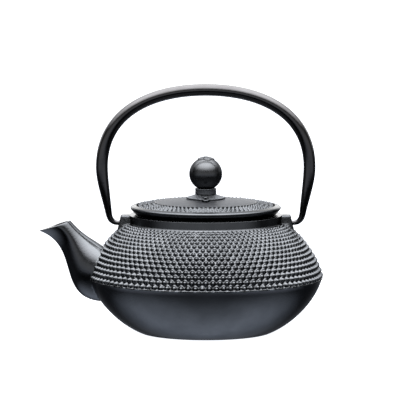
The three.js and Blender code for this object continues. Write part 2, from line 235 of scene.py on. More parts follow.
def rounded(corners, steps=4):
    """An outline of (r, z) or (r, z, radius) corners, with an arc at each that has a radius."""
    outline = []
    for i, corner in enumerate(corners):
        here = np.array(corner[:2], float)
        if len(corner) < 3 or i in (0, len(corners) - 1):
            outline.append(here)
            continue
        before = np.array(corners[i - 1][:2], float) - here
        after = np.array(corners[i + 1][:2], float) - here
        cut = [
            here + side / np.linalg.norm(side) * min(corner[2], np.linalg.norm(side) * 0.5)
            for side in (before, after)
        ]
        for t in np.linspace(0, 1, steps + 1):
            outline.append(cut[0] * (1 - t) ** 2 + here * 2 * t * (1 - t) + cut[1] * t**2)
    return outline


# ------------------------------------------------------------------------- mesh helpers


def band(a, m, b, n):
    """Faces between ring a of m points and ring b of n, where one count divides the other."""
    if m < n:
        return [face[::-1] for face in band(b, n, a, m)]
    if n == 1:
        return [(a + i, a + (i + 1) % m, b) for i in range(m)]
    share = m // n
    faces = []
    for j in range(n):
        fine = [a + (j * share + i) % m for i in range(share + 1)]
        near, far = b + j, b + (j + 1) % n
        if share == 1:
            faces.append((fine[0], fine[1], far, near))
            continue
        middle = share // 2
        faces += [(fine[i], fine[i + 1], near) for i in range(middle)]
        faces.append((fine[middle], far, near))
        faces += [(fine[i], fine[i + 1], far) for i in range(middle, share)]
    return faces


def skin(rings, closed=False):
    """Points and faces over a stack of rings. closed joins the last ring to the first."""
    counts = [len(ring) for ring in rings]
    starts = np.cumsum([0, *counts[:-1]])
    pairs = [(i, i + 1) for i in range(len(rings) - 1)]
    if closed:
        pairs.append((len(rings) - 1, 0))
    faces = []
    for a, b in pairs:
        faces += band(int(starts[a]), counts[a], int(starts[b]), counts[b])
    return np.concatenate(rings), faces


def circle(radius, height, columns):
    if radius < 1e-6:
        return np.array([[0.0, 0.0, height]])
    angle = np.arange(columns) * TURN / columns
    ring = np.stack([np.cos(angle), np.sin(angle), np.zeros(columns)], 1) * radius
    return ring + [0, 0, height]


def turned(outline, columns, closed=False):
    return skin([circle(r, z, columns) for r, z in outline], closed)


def piece(name, shape, materials, sharp=35):
    """A mesh object from points in millimetres and faces, with its faces turned outwards."""
    points, faces = shape
    mesh = bpy.data.meshes.new(name)
    mesh.from_pydata((np.asarray(points) * MM).tolist(), [], faces)
    work = bmesh.new()
    work.from_mesh(mesh)
    bmesh.ops.recalc_face_normals(work, faces=work.faces)
    work.to_mesh(mesh)
    work.free()
    for material in materials:
        mesh.materials.append(material)
    shade(mesh, sharp)
    obj = bpy.data.objects.new(name, mesh)
    bpy.context.scene.collection.objects.link(obj)
    return obj


def shade(mesh, sharp):
    mesh.shade_smooth()
    mesh.set_sharp_from_angle(angle=math.radians(sharp))


def settled(obj):
    """obj with its modifiers applied."""
    bpy.context.view_layer.update()
    graph = bpy.context.evaluated_depsgraph_get()
    mesh = bpy.data.meshes.new_from_object(obj.evaluated_get(graph), depsgraph=graph)
    obj.modifiers.clear()
    obj.data = mesh
    return obj


def combined(obj, operation, others):
    """obj united with, or cut by, the other closed meshes, which are used up."""
    for other in others:
        modifier = obj.modifiers.new(operation, "BOOLEAN")
        modifier.object = other
        modifier.operation = operation
        modifier.solver = "MANIFOLD"
    settled(obj)
    for other in others:
        bpy.data.objects.remove(other)
    return obj


def set_face_material(obj, index, inside):
    """Gives material index to the faces for whose centre, in millimetres, inside says so."""
    mesh = obj.data
    centres = np.zeros(len(mesh.polygons) * 3)
    mesh.polygons.foreach_get("center", centres)
    chosen = inside(centres.reshape(-1, 3) / MM)
    current = np.zeros(len(mesh.polygons), np.int32)
    mesh.polygons.foreach_get("material_index", current)
    current[chosen] = index
    mesh.polygons.foreach_set("material_index", current)


# ---------------------------------------------------------------------------- materials


def new_material(name, colour, **sockets):
    material = bpy.data.materials.new(name)
    material.use_nodes = True
    shader = material.node_tree.nodes["Principled BSDF"]
    shader.inputs["Base Color"].default_value = (*colour, 1)
    for socket, value in sockets.items():
        shader.inputs[socket.replace("_", " ")].default_value = value
    return material, material.node_tree, shader


def noise(tree, size, detail=2.0, roughness=0.5, stretch=(1, 1, 1)):
    """A noise texture whose features are about size millimetres across."""
    place = tree.nodes.new("ShaderNodeTexCoord")
    scale = tree.nodes.new("ShaderNodeMapping")
    scale.inputs["Scale"].default_value = [s / (size * MM) for s in stretch]
    texture = tree.nodes.new("ShaderNodeTexNoise")
    texture.inputs["Scale"].default_value = 1
    texture.inputs["Detail"].default_value = detail
    texture.inputs["Roughness"].default_value = roughness
    tree.links.new(place.outputs["Object"], scale.inputs["Vector"])
    tree.links.new(scale.outputs["Vector"], texture.inputs["Vector"])
    return texture.outputs["Fac"]


def ranged(tree, source, low, high, to_low, to_high):
    node = tree.nodes.new("ShaderNodeMapRange")
    for socket, value in zip(("From Min", "From Max", "To Min", "To Max"), (low, high, to_low, to_high)):
        node.inputs[socket].default_value = value
    tree.links.new(source, node.inputs["Value"])
    return node.outputs["Result"]


def mixed_colour(tree, factor, first, second):
    node = tree.nodes.new("ShaderNodeMix")
    node.data_type = "RGBA"
    node.inputs["A"].default_value = (*first, 1)
    node.inputs["B"].default_value = (*second, 1)
    tree.links.new(factor, node.inputs["Factor"])
    return node.outputs["Result"]


def bumped(tree, shader, layers):
    """Bump from layers of (height source, depth in millimetres), one over the other."""
    normal = None
    for source, depth in layers:
        node = tree.nodes.new("ShaderNodeBump")
        node.inputs["Strength"].default_value = 1
        node.inputs["Distance"].default_value = depth * MM
        tree.links.new(source, node.inputs["Height"])
        if normal:
            tree.links.new(normal, node.inputs["Normal"])
        normal = node.outputs["Normal"]
    tree.links.new(normal, shader.inputs["Normal"])


def painted_iron(name, dark, light, rough, grain, depth, edge=0.45):
    """Black satin paint over sand-cast iron: uneven gloss over a fine pebbly skin.

    edge is how bright the paint gets where it is seen almost edge on, against bare metal.
    """
    material, tree, shader = new_material(name, dark, Metallic=1.0)
    shader.inputs["Specular Tint"].default_value = (edge, edge, edge, 1)
    patches = noise(tree, 14, detail=4, roughness=0.6)
    speckle = noise(tree, 0.5, detail=3)
    tone = ranged(tree, patches, 0.3, 0.7, 0, 1)
    tree.links.new(mixed_colour(tree, tone, dark, light), shader.inputs["Base Color"])
    gloss = ranged(tree, noise(tree, 2.2, detail=5, roughness=0.65), 0.3, 0.7, *rough)
    tree.links.new(gloss, shader.inputs["Roughness"])
    bumped(tree, shader, [(noise(tree, grain, detail=3), depth), (speckle, depth * 0.25)])
    return material


def enamel(name, colour):
    """Glossy black enamel inside the pot, with a faint orange peel."""
    material, tree, shader = new_material(name, colour, IOR=1.52)
    gloss = ranged(tree, noise(tree, 6, detail=3), 0.3, 0.7, 0.1, 0.2)
    tree.links.new(gloss, shader.inputs["Roughness"])
    bumped(tree, shader, [(noise(tree, 3.5, detail=1), 0.06)])
    return material


def stainless(name, colour, rough, stretch=(1, 1, 1)):
    """Pressed stainless steel with fine rolling marks."""
    material, tree, shader = new_material(name, colour, Metallic=1.0)
    marks = noise(tree, 0.6, detail=4, stretch=stretch)
    tree.links.new(ranged(tree, marks, 0.3, 0.7, *rough), shader.inputs["Roughness"])
    tone = ranged(tree, noise(tree, 9, detail=3), 0.3, 0.7, 0, 1)
    darker = tuple(c * 0.86 for c in colour)
    tree.links.new(mixed_colour(tree, tone, darker, colour), shader.inputs["Base Color"])
    bumped(tree, shader, [(marks, 0.012)])
    return material


BLACK_IRON = painted_iron(
    "black_iron", (0.0305, 0.0322, 0.0348), (0.04, 0.042, 0.0452), (0.14, 0.23), 0.9, 0.04
)
BAIL_IRON = painted_iron(
    "bail_iron", (0.029, 0.0285, 0.0295), (0.036, 0.0355, 0.037), (0.13, 0.21), 1.3, 0.03, 0.66
)
KNOB_IRON = painted_iron(
    "knob_iron", (0.031, 0.032, 0.034), (0.038, 0.0395, 0.042), (0.22, 0.32), 1.1, 0.02
)
# A lighter, rougher copy of the knob's paint for the plate and the collar. The lighter colour is painted
# light: it brightens them where the ball above darkens what they reflect.
LIGHTENED_STAND_IRON = painted_iron(
    "knob_stand_iron_lightened", (0.05, 0.0525, 0.0575), (0.062, 0.065, 0.0705), (0.45, 0.55), 0.8, 0.02
)
LID_GLOSS = painted_iron(
    "black_iron_gloss", (0.034, 0.0355, 0.0385), (0.042, 0.044, 0.048), (0.4, 0.5), 1.6, 0.012
)
ENAMEL = enamel("black_enamel", (0.009, 0.009, 0.0105))
STEEL = stainless("pressed_steel", (0.3, 0.305, 0.315), (0.24, 0.38), (1, 1, 8))
WIRE = stainless("wire_steel", (0.24, 0.244, 0.252), (0.26, 0.4))

# --------------------------------------------------------------- pot: bowl and shoulder


def bowl(inset, lift, count):
    """Outline of the bowl, from the base's edge up to the belly."""
    low, high = BOWL_PULL
    return cubic(
        (BASE_RADIUS - inset, lift),
        (low[0] - inset, low[1] + lift * 0.6),
        (high[0] - inset, high[1] + lift * 0.2),
        (BELLY[0] - inset, BELLY[1]),
        np.linspace(0, 1, count),
    )


def shoulder(inset, drop, count):
    """Outline over the crests of the studs, from the belly up to the neck."""
    low, high = SHOULDER_PULL
    return cubic(
        (CREST_RADIUS - inset, CREST_HEIGHT),
        (low[0] - inset, low[1] - drop / 2),
        (high[0] - inset, high[1] - drop),
        (NECK_FOOT[0] - inset, NECK_FOOT[1] - drop),
        np.linspace(0, 1, count),
    )


def stud_rows(along, radius):
    """Where each row of studs is along the shoulder's outline. The parting line cuts the first."""
    rows = [-0.38 * ROW_SPACING * radius[0]]
    while True:
        step = ROW_SPACING * np.interp(rows[-1], along, radius)
        if rows[-1] + step > along[-1] - 0.1 * step:
            return np.array(rows)
        rows.append(rows[-1] + step)


def stud_profile(distance, point):
    """Height of a stud, from 0 to 1, at a distance from its middle as a share of its foot."""
    near = np.clip(distance, 0, 1)
    return lerp(0.5 + 0.5 * np.cos(math.pi * near), 1 - near, point)


def stud_heights(levels, rows, angle, pitch):
    """Height of the studs over the grid of levels and angles, from 0 to 1."""
    rng = np.random.default_rng(STUD_SEED)
    tall = rng.normal(1, 0.035, (len(rows), STUDS_ROUND))
    tall[rng.random(tall.shape) < 0.015] = 0.7
    shift = rng.normal(0, 0.018, (len(rows), STUDS_ROUND, 2))
    height = np.zeros((len(levels), len(angle)))
    for k, row in enumerate(rows):
        turn = angle * STUDS_ROUND / TURN - 0.5 * (k % 2)
        nearest = np.round(turn).astype(int)
        which = nearest % STUDS_ROUND
        across = turn - nearest - shift[k, which, 0]
        up = (levels[:, None] - row) / pitch[:, None] - shift[k, which, 1] + STUD_DROOP
        reach = STUD_REACH + STUD_DROOP * np.sign(up)
        stud = stud_profile(np.hypot(across / STUD_REACH, up / reach), STUD_POINT)
        height = np.maximum(height, stud * tall[k, which])
    return height


def studded_shoulder(distance):
    """Rings over the studded zone, from the parting line up to the neck.

    distance gives how far each of an array of points is from the spout and the ears.
    """
    crest = shoulder(0, 0, 400)
    steps = np.linalg.norm(np.diff(crest, axis=0), axis=1)
    along = np.concatenate([[0], np.cumsum(steps)])
    rows = stud_rows(along, crest[:, 0])
    marks = np.concatenate([[0], rows[1:], [along[-1]]])
    spans = zip(marks, marks[1:])
    levels = np.concatenate([np.linspace(a, b, STUD_LEVELS, endpoint=False) for a, b in spans])
    levels = np.append(levels, along[-1])
    angle = np.arange(STUDS_ROUND * STUD_COLUMNS) * TURN / (STUDS_ROUND * STUD_COLUMNS)
    middle = at_length(crest, along, levels)
    slope = np.gradient(middle, levels, axis=0)
    slope /= np.linalg.norm(slope, axis=1)[:, None]
    outward = np.stack([slope[:, 1], -slope[:, 0]], 1)
    pitch = middle[:, 0] * TURN / STUDS_ROUND
    depth = (lerp(*STUD_HEIGHT, smooth(levels, 0, along[-1] * 0.7)) * pitch)[:, None]
    base = middle - outward * depth
    sides = np.stack([np.cos(angle), np.sin(angle)], 1)

    def placed(raised):
        radius = base[:, 0, None] + outward[:, 0, None] * raised
        z = base[:, 1, None] + outward[:, 1, None] * raised
        return np.concatenate([radius[..., None] * sides[None], z[..., None]], 2)

    height = stud_heights(levels, rows, angle, pitch)
    wave = 0.08 * np.sin(angle * 37) + 0.06 * np.sin(angle * 83 + 1) + 0.05 * np.sin(angle * 151 + 2)
    ridge = (RIDGE_SHARE + wave) * (1 - smooth(levels, 0.25, 0.9))[:, None]
    height = np.maximum(height, ridge)
    # the highest rows get shallower and run out into a plain band under the neck
    bare = smooth(levels, along[-1] - 0.5, along[-1])[:, None]
    height = lerp(height, BARE_SHARE, bare)
    gap = distance(placed(depth * 0.5 * np.ones_like(height)).reshape(-1, 3)).reshape(height.shape)
    fade = smooth(gap, 0.2, BARE_MARGIN)
    height = lerp(np.full_like(height, BARE_SHARE), height, fade)
    close = np.clip(1 - gap / FILLET, 0, 1)
    return list(placed(height * depth + FILLET * (1 - np.sqrt(1 - 0.98 * close**2))))


def distance_to(objects):
    """A function giving how far points are from the nearest closed mesh; 0 inside one."""
    graph = bpy.context.evaluated_depsgraph_get()
    trees = [BVHTree.FromObject(obj, graph) for obj in objects]
    boxes = [np.array([list(corner) for corner in obj.bound_box]) / MM for obj in objects]

    def distance(points):
        gap = np.full(len(points), 1e3)
        for tree, box in zip(trees, boxes):
            close = ((points > box.min(0) - 4) & (points < box.max(0) + 4)).all(1)
            for i in np.nonzero(close)[0]:
                point = Vector(points[i] * MM)
                place, normal, _, away = tree.find_nearest(point)
                outside = (point - place).dot(normal) > 0
                gap[i] = min(gap[i], away / MM if outside else 0)
        return gap

    return distance


# ---------------------------------------------------------------- pot: spout and ears


def spout_edge(curve, t):
    """A point on an edge of the spout; past its ends the edge runs straight on."""
    inside = min(max(t, 0), 1)
    line = cubic(*curve, np.linspace(0, 1, 60))
    length = np.linalg.norm(np.diff(line, axis=0), axis=1).sum()
    ahead = cubic(*curve, min(inside + 0.001, 1)) - cubic(*curve, max(inside - 0.001, 0))
    return cubic(*curve, inside) + ahead / np.linalg.norm(ahead) * length * (t - inside)


def spout_section(t, wall):
    """A ring across the spout, wall millimetres inside its outer surface."""
    inside = min(max(t, 0), 1)
    low = spout_edge(SPOUT_UNDER, t)
    high = spout_edge(SPOUT_OVER, t)
    middle = (low + high) / 2
    half = (high - low) / 2
    reach = 1 - wall / np.linalg.norm(half)
    wide = lerp(*SPOUT_HALF_WIDTH, smooth(inside, -0.2, 0.9)) - wall
    narrow = lerp(*SPOUT_EGG, smooth(inside, 0.2, 1))
    angle = np.arange(SPOUT_COLUMNS) * TURN / SPOUT_COLUMNS
    u, v = np.cos(angle), np.sin(angle)
    egg = 1 - narrow * np.clip(0.25 - v, 0, None) ** 1.5
    return np.stack([middle[0] + half[0] * v * reach, u * wide * egg, middle[1] + half[1] * v * reach], 1)


def capped(rings):
    """Points and faces over rings, with a middle point that closes each end."""
    return skin([rings[0].mean(0)[None], *rings, rings[-1].mean(0)[None]])


def horn():
    """The spout's outside, solid, with a rounded lip."""
    turn = np.linspace(0, math.pi / 2, 6)
    sections = [spout_section(t, 0) for t in np.linspace(-0.12, 1 - LIP_SHARE, 44)]
    sections += [
        spout_section(1 - LIP_SHARE * (1 - math.sin(a)), LIP_ROUND * (1 - math.cos(a))) for a in turn[1:]
    ]
    return piece("horn", capped(sections), [BLACK_IRON])


def passage():
    """The hollow through the spout, which opens out a little at the lip."""
    sections = []
    for t in [*np.linspace(-0.2, 1 - LIP_SHARE, 40), *np.linspace(1 - LIP_SHARE, 1, 6)[1:], 1.06]:
        wall = lerp(*SPOUT_WALL, min(max(t, 0), 1))
        opened = min(max((t - 1 + LIP_SHARE) / LIP_SHARE, 0), 1)
        sections.append(spout_section(t, wall - 0.7 * LIP_ROUND * (1 - math.sqrt(1 - opened**2))))
    obj = piece("passage", capped(sections), [BLACK_IRON, ENAMEL])
    set_face_material(obj, 1, lambda centres: centres[:, 0] < 0)
    return obj


def quadratic(a, b, c, t):
    a, b, c = (np.array(p, float) for p in (a, b, c))
    t = np.asarray(t, float)[:, None]
    return a * (1 - t) ** 2 + b * 2 * t * (1 - t) + c * t**2


def ear_ring(z, inset, side):
    """The outline of an ear at height z, drawn in by inset everywhere but at its root."""
    face_x, face_y = EAR_FACE
    root = quadratic(EAR_ROOT, EAR_FLARE, EAR_WAIST, np.linspace(0, 1, 8))
    bend = quadratic(
        (face_x - EAR_CORNER, face_y),
        (face_x, face_y),
        (face_x, face_y - EAR_CORNER),
        np.linspace(0, 1, 6),
    )
    half = np.concatenate([root, bend])
    line = np.concatenate([half * [1, -1], half[::-1]])
    ahead = np.roll(line, -1, axis=0) - np.roll(line, 1, axis=0)
    outward = np.stack([ahead[:, 1], -ahead[:, 0]], 1)
    outward /= np.linalg.norm(outward, axis=1)[:, None]
    free = smooth(line[:, 0], EAR_ROOT[0], EAR_ROOT[0] + 2.5)[:, None]
    line = line - outward * inset * free
    level = (z - EAR_FOOT) / (RIM_HEIGHT - EAR_FOOT)
    axis_level = (AXIS_HEIGHT - EAR_FOOT) / (RIM_HEIGHT - EAR_FOOT)
    x = line[:, 0] + EAR_LEAN * smooth(line[:, 0], EAR_ROOT[0], face_x) * (axis_level - level)
    y = line[:, 1] * lerp(*EAR_SPREAD, level)
    return np.stack([x * side, y * side, np.full(len(x), z)], 1)


def ear(side):
    rings = [ear_ring(z, 0, side) for z in np.linspace(EAR_FOOT, RIM_HEIGHT - EAR_ROUND, 12)]
    for a in np.linspace(0, math.pi / 2, 7)[1:]:
        z = RIM_HEIGHT - EAR_ROUND * (1 - math.sin(a))
        rings.append(ear_ring(z, EAR_ROUND * (1 - math.cos(a)), side))
    return piece("ear", capped(rings), [BLACK_IRON])


def rod(name, start, end, radius, materials, flare=0.0):
    """A closed round rod between two points, in millimetres, whose end may open out."""
    start, end = np.array(start, float), np.array(end, float)
    axis = (end - start) / np.linalg.norm(end - start)
    across = np.cross(axis, (0, 1, 0) if abs(axis[1]) < 0.9 else (1, 0, 0))
    across /= np.linalg.norm(across)
    other = np.cross(axis, across)
    angle = (np.arange(40) * TURN / 40)[:, None]
    ring = across * np.cos(angle) + other * np.sin(angle)
    rings = [start + ring * radius]
    for a in np.linspace(0, math.pi / 2, 5):
        rings.append(end - axis * flare * (1 - math.sin(a)) + ring * (radius + flare * (1 - math.cos(a))))
    rings.append(end + axis * 3 + ring * (radius + flare))
    return piece(name, capped(rings), materials)


def pivot_hole(side):
    start = (side * HOLE_END, 0, AXIS_HEIGHT)
    mouth = (side * (EAR_FACE[0] + 0.05), 0, AXIS_HEIGHT)
    return rod("pivot_hole", start, mouth, HOLE_RADIUS, [BLACK_IRON], 0.5)


# ------------------------------------------------------------------------- pot: whole


def pot_rings(distance):
    """Rings over the whole skin of the pot, from under its base to the floor inside."""
    outside = rounded([(0, 0), (BASE_RADIUS * 0.6, 0), (BASE_RADIUS, 0, 0.9), *bowl(0, 0, 22)[1:]])
    rings = [circle(r, z, COARSE_COLUMNS) for r, z in outside]
    zone = studded_shoulder(distance)
    rings.append(circle(BELLY[0] + 0.25, BELLY[1] + 0.35, COARSE_COLUMNS))
    rings += zone
    neck = rounded(
        [
            (NECK_FOOT[0], NECK_FOOT[1]),
            (NECK_RADIUS, NECK_FOOT[1] - 0.1, 0.3),
            (NECK_RADIUS, RIM_HEIGHT, 0.15),
            (MOUTH_RADIUS, RIM_HEIGHT, 0.4),
            (MOUTH_RADIUS, LEDGE_HEIGHT),
            (LEDGE_RADIUS, LEDGE_HEIGHT, 0.6),
            (LEDGE_RADIUS, THROAT_HEIGHT + 1.2),
            (LEDGE_RADIUS + 3, THROAT_HEIGHT),
        ]
    )
    inside = [*shoulder(SHOULDER_WALL, SHOULDER_WALL * 0.75, 18)[:-1][::-1]]
    inside += [*bowl(WALL, FLOOR, 18)[::-1], (0, FLOOR)]
    rings += [circle(r, z, COARSE_COLUMNS) for r, z in neck[1:]]
    return rings + [circle(r, z, COARSE_COLUMNS // 2) for r, z in inside]


def inner_skin(centres):
    """Which of some points lie on the wall of the hollow."""
    wall = np.concatenate([bowl(WALL, FLOOR, 40), shoulder(SHOULDER_WALL, SHOULDER_WALL * 0.75, 40)])
    radius = np.hypot(centres[:, 0], centres[:, 1])
    z = centres[:, 2]
    inside = radius < np.interp(z, wall[:, 1], wall[:, 0]) + 0.5
    return inside & (z > FLOOR - 0.1) & (z < LEDGE_HEIGHT - 0.3)


def pot():
    fittings = [horn(), ear(1), ear(-1)]
    obj = piece("teapot_pot", skin(pot_rings(distance_to(fittings))), [BLACK_IRON, ENAMEL], STUD_SHARP)
    set_face_material(obj, 1, inner_skin)
    combined(obj, "UNION", fittings)
    combined(obj, "DIFFERENCE", [passage(), pivot_hole(1), pivot_hole(-1)])
    shade(obj.data, STUD_SHARP)
    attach(obj, "pot")
    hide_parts("pot_body")
    return obj


# ------------------------------------------------------------------------------- bail


def bail_line():
    """Middle line of the right half of the bail, from its top to its tip: (x, z)."""
    arch = cubic((0, BAIL_TOP), (34.5, BAIL_TOP), (61.2, 129), (61.2, 97.8), np.linspace(0, 1, 200))
    leg = cubic((61.2, 97.8), (61.2, 90), (58.6, 79.5), (57.3, 71), np.linspace(0, 1, 80))
    foot = cubic((57.3, 71), (56.8, 67.4), (55.4, AXIS_HEIGHT), (51.6, AXIS_HEIGHT), np.linspace(0, 1, 60))
    pin = np.array([[PIN_END, AXIS_HEIGHT]])
    return evenly(np.concatenate([arch, leg[1:], foot[1:], pin]), 130)


def bail_section(here, ahead):
    """A ring across the bail at the point here, whose line runs on towards ahead."""
    x, z = abs(here[0]), here[1]
    on_pin = 0 if z > 97 else float(smooth(56.6 - x, 0, 4.6))
    up = float(smooth(z, 62, 97))
    leg = lerp(FOOT_THICKNESS, GRIP_THICKNESS, up) / 2
    thick = lerp(leg, PIN_RADIUS, on_pin)
    deep = lerp(lerp(leg * 1.12, GRIP_WIDTH / 2, up), PIN_RADIUS, on_pin)
    angle = np.arange(36) * TURN / 36
    u, v = np.cos(angle), np.sin(angle)
    full = 1 + 0.06 * (1 - np.abs(u * u - v * v)) * (1 - on_pin)
    side = np.array([-ahead[1], ahead[0]])
    place = here + side * (thick * u * full)[:, None]
    return np.stack([place[:, 0], deep * v * full, place[:, 1]], 1)


def bail():
    half = bail_line()
    line = np.concatenate([half[::-1], half[1:] * [-1, 1]])
    ahead = np.gradient(line, axis=0)
    ahead /= np.linalg.norm(ahead, axis=1)[:, None]
    rings = [bail_section(point, way) for point, way in zip(line, ahead)]
    for end in (0, -1):
        middle = rings[end].mean(0)
        rings[end] = middle + (rings[end] - middle) * 0.55
    obj = piece("teapot_bail", capped(rings), [BAIL_IRON])
    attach(obj, "bail")
    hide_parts("bail_handle")
    return obj


# -------------------------------------------------------------------------------- lid


def dome(r):
    return LID_CROWN - r**2 / (2 * DOME_RADIUS)


def nub_rings():
    """Rings over the zone of nubs on the lid, from its rim inwards."""
    columns = NUBS_ROUND * NUB_COLUMNS
    angle = np.arange(columns) * TURN / columns
    radii = np.linspace(NUB_ZONE[0], NUB_ZONE[1], 40)
    rng = np.random.default_rng(STUD_SEED + 1)
    height = np.zeros((len(radii), columns))
    for k, middle in enumerate(NUB_RADII):
        tall = rng.normal(1, 0.06, NUBS_ROUND)
        turn = angle * NUBS_ROUND / TURN - 0.5 * (k % 2)
        nearest = np.round(turn).astype(int)
        pitch = TURN * middle / NUBS_ROUND
        across = (turn - nearest) * pitch / NUB_SPACING / NUB_REACH[0]
        away = np.hypot(across, (radii[:, None] - middle) / NUB_SPACING / NUB_REACH[1])
        height = np.maximum(height, stud_profile(away, NUB_POINT) * tall[nearest % NUBS_ROUND])
    inner = smooth(radii, NUB_ZONE[1], NUB_ZONE[1] + 0.3)
    outer = 1 - smooth(radii, NUB_ZONE[0] - 0.3, NUB_ZONE[0])
    low = NUB_GROOVE * (inner * outer)[:, None]
    z = dome(radii)[:, None] - low + height * NUB_HEIGHT * (inner * outer)[:, None]
    x = radii[:, None] * np.cos(angle)
    y = radii[:, None] * np.sin(angle)
    return list(np.stack([x, y, z], 2))


def lid_rings():
    """Rings round the lid's cross-section, from the bolt hole underneath and back over the top."""
    under = [(r, lerp(LID_UNDER, SKIRT_TOP, (r / SKIRT_INNER) ** 2)) for r in np.linspace(9, 35.6, 14)]
    below = rounded(
        [
            (BOLT_HOLE, LID_UNDER),
            *under,
            (SKIRT_INNER, SKIRT_TOP, 0.4),
            (SKIRT_INNER, LID_LOW[2], 0.5),
            (SKIRT_OUTER, LID_LOW[2], 0.5),
            (SKIRT_OUTER, SEAT_HEIGHT),
            (SEAT_RADIUS, SEAT_HEIGHT, 0.6),
            (LID_RADIUS - 0.5, SEAT_HEIGHT + 2.9, 0.8),
            (LID_RADIUS, SEAT_HEIGHT + 3.9, 0.4),
            (LID_RADIUS - 0.5, dome(LID_RADIUS - 0.5), 0.5),
            (NUB_ZONE[0] + 0.2, dome(NUB_ZONE[0] + 0.2)),
        ]
    )
    top = [(r, dome(r)) for r in np.linspace(NUB_ZONE[1] - 0.4, 12, 26)]
    land = rounded([top[-1], (11.4, dome(11.4), 0.3), (10.4, dome(11.4)), (BOLT_HOLE, dome(11.4))])
    columns = NUBS_ROUND * 2
    rings = [circle(r, z, columns) for r, z in below]
    return rings + nub_rings() + [circle(r, z, columns) for r, z in [*top, *land[1:]]]


def smooth_dome(centres):
    """Which of some points lie on the smooth middle of the lid's top."""
    radius = np.hypot(centres[:, 0], centres[:, 1])
    return (radius < NUB_ZONE[1] - 0.2) & (centres[:, 2] > dome(radius) - 0.3)


def lid():
    obj = piece("teapot_lid", skin(lid_rings(), closed=True), [BLACK_IRON, LID_GLOSS], STUD_SHARP)
    set_face_material(obj, 1, smooth_dome)
    foot = np.array([0, -VENT_PLACE, dome(VENT_PLACE)])
    way = np.array([0, -math.sin(VENT_LEAN), math.cos(VENT_LEAN)])
    boss_top = foot + way * VENT_HEIGHT
    combined(obj, "UNION", [vent_boss(foot, way)])
    hole = rod("vent_hole", foot - way * 6, boss_top, VENT_HOLE, [BLACK_IRON], 0.35)
    combined(obj, "DIFFERENCE", [hole])
    shade(obj.data, STUD_SHARP)
    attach(obj, "lid")
    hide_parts("lid")
    return obj


def vent_boss(foot, way):
    """The small leaning boss of the steam vent, with a flared foot and a rounded rim."""
    across = np.array([1.0, 0, 0])
    other = np.cross(way, across)
    profile = rounded(
        [
            (0, -1.6),
            (VENT_RADIUS + 0.9, -1.6),
            (VENT_RADIUS, 0.5, 0.8),
            (VENT_RADIUS, VENT_HEIGHT, 0.5),
            (0, VENT_HEIGHT),
        ],
        6,
    )
    angle = (np.arange(48) * TURN / 48)[:, None]
    ring = across * np.cos(angle) + other * np.sin(angle)
    rings = [foot + way * z + ring * r for r, z in profile if r > 0]
    return piece("vent_boss", capped(rings), [BLACK_IRON])


# ------------------------------------------------------------------------------- knob


def seat_plate():
    radius, low, top = PLATE_HIGH[0], PLATE_LOW[2], PLATE_HIGH[2]
    edge, meets = np.array([radius - 0.1, low + 0.65]), np.array([COLLAR_HIGH[0] + 0.1, top])
    flare = cubic(edge, lerp(edge, meets, 0.33) - [0, 0.12], lerp(edge, meets, 0.66), meets, STEPS_8)
    outline = rounded(
        [
            (BOLT_HOLE, low),
            (radius - 0.15, low),
            (radius, low + 0.3, 0.2),
            (edge[0], edge[1], 0.2),
            *flare[1:-1],
            (meets[0], top, 0.3),
            (BOLT_HOLE, top),
        ]
    )
    obj = piece("knob_plate", turned(outline, 96, closed=True), [LIGHTENED_STAND_IRON])
    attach(obj, "lid")
    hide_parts("knob_seat_plate")
    return obj


def collar():
    radius, top = COLLAR_HIGH[0], COLLAR_HIGH[2]
    outline = rounded(
        [
            (BOLT_HOLE, COLLAR_LOW[2]),
            (radius, COLLAR_LOW[2], 0.3),
            (radius - 0.15, top - 0.9),
            (radius, top - 0.5, 0.2),
            (radius, top, 0.35),
            (COLLAR_RECESS, top, 0.35),
            (COLLAR_RECESS, top - 0.9),
            (BOLT_HOLE, top - 0.9),
        ]
    )
    obj = piece("knob_collar_ring", turned(outline, 80, closed=True), [LIGHTENED_STAND_IRON])
    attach(obj, "lid")
    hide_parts("knob_collar")
    return obj


def rosette(away, angle):
    """Relief of the petals on the ball's top. away is 0 at its pole and 1 at its edge."""
    petal = np.abs(np.cos(angle * PETALS / 2))
    edge = 0.74 + 0.26 * petal**0.7
    raised = smooth(edge - away, 0, 0.1)
    split = np.exp(-((petal * away / 0.07) ** 2))
    vein = np.exp(-((np.sin(angle * PETALS / 2) * away / 0.06) ** 2)) * smooth(away, 0.3, 0.45)
    button = 1 - smooth(away, 0.17, 0.23)
    moat = np.exp(-(((away - 0.27) / 0.04) ** 2))
    relief = raised * (0.8 - 0.7 * split - 0.2 * vein - 0.5 * moat)
    return ROSETTE_HEIGHT * lerp(relief, 1.0, button)


def knob_ball():
    columns = 192
    angle = np.arange(columns) * TURN / columns
    start = math.pi - math.asin(KNOB_NECK / BALL_RADIUS)
    neck = rounded(
        [
            (0, THREAD_TOP),
            (THREAD_RADIUS, THREAD_TOP),
            (THREAD_RADIUS, KNOB_LOW[2]),
            (KNOB_NECK, KNOB_LOW[2], 0.4),
            (KNOB_NECK, BALL_HEIGHT + BALL_RADIUS * math.cos(start)),
        ]
    )
    rings = [circle(r, z, columns) for r, z in neck]
    limit = math.asin(ROSETTE_RADIUS / BALL_RADIUS)
    coarse = np.linspace(start, limit * 1.05, 44)[1:]
    fine = np.linspace(limit * 1.03, limit * 0.02, 46)
    for polar in [*coarse, *fine]:
        radius = BALL_RADIUS + (rosette(polar / limit, angle) if polar < limit * 1.04 else 0)
        flat = radius * math.sin(polar) * np.ones(columns)
        z = BALL_HEIGHT + radius * math.cos(polar) * np.ones(columns)
        rings.append(np.stack([flat * np.cos(angle), flat * np.sin(angle), z], 1))
    rings.append(np.array([[0, 0, BALL_HEIGHT + BALL_RADIUS + ROSETTE_HEIGHT]]))
    obj = piece("knob_ball", skin(rings), [KNOB_IRON], 50)
    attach(obj, "lid")
    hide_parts("lid_knob")
    return obj


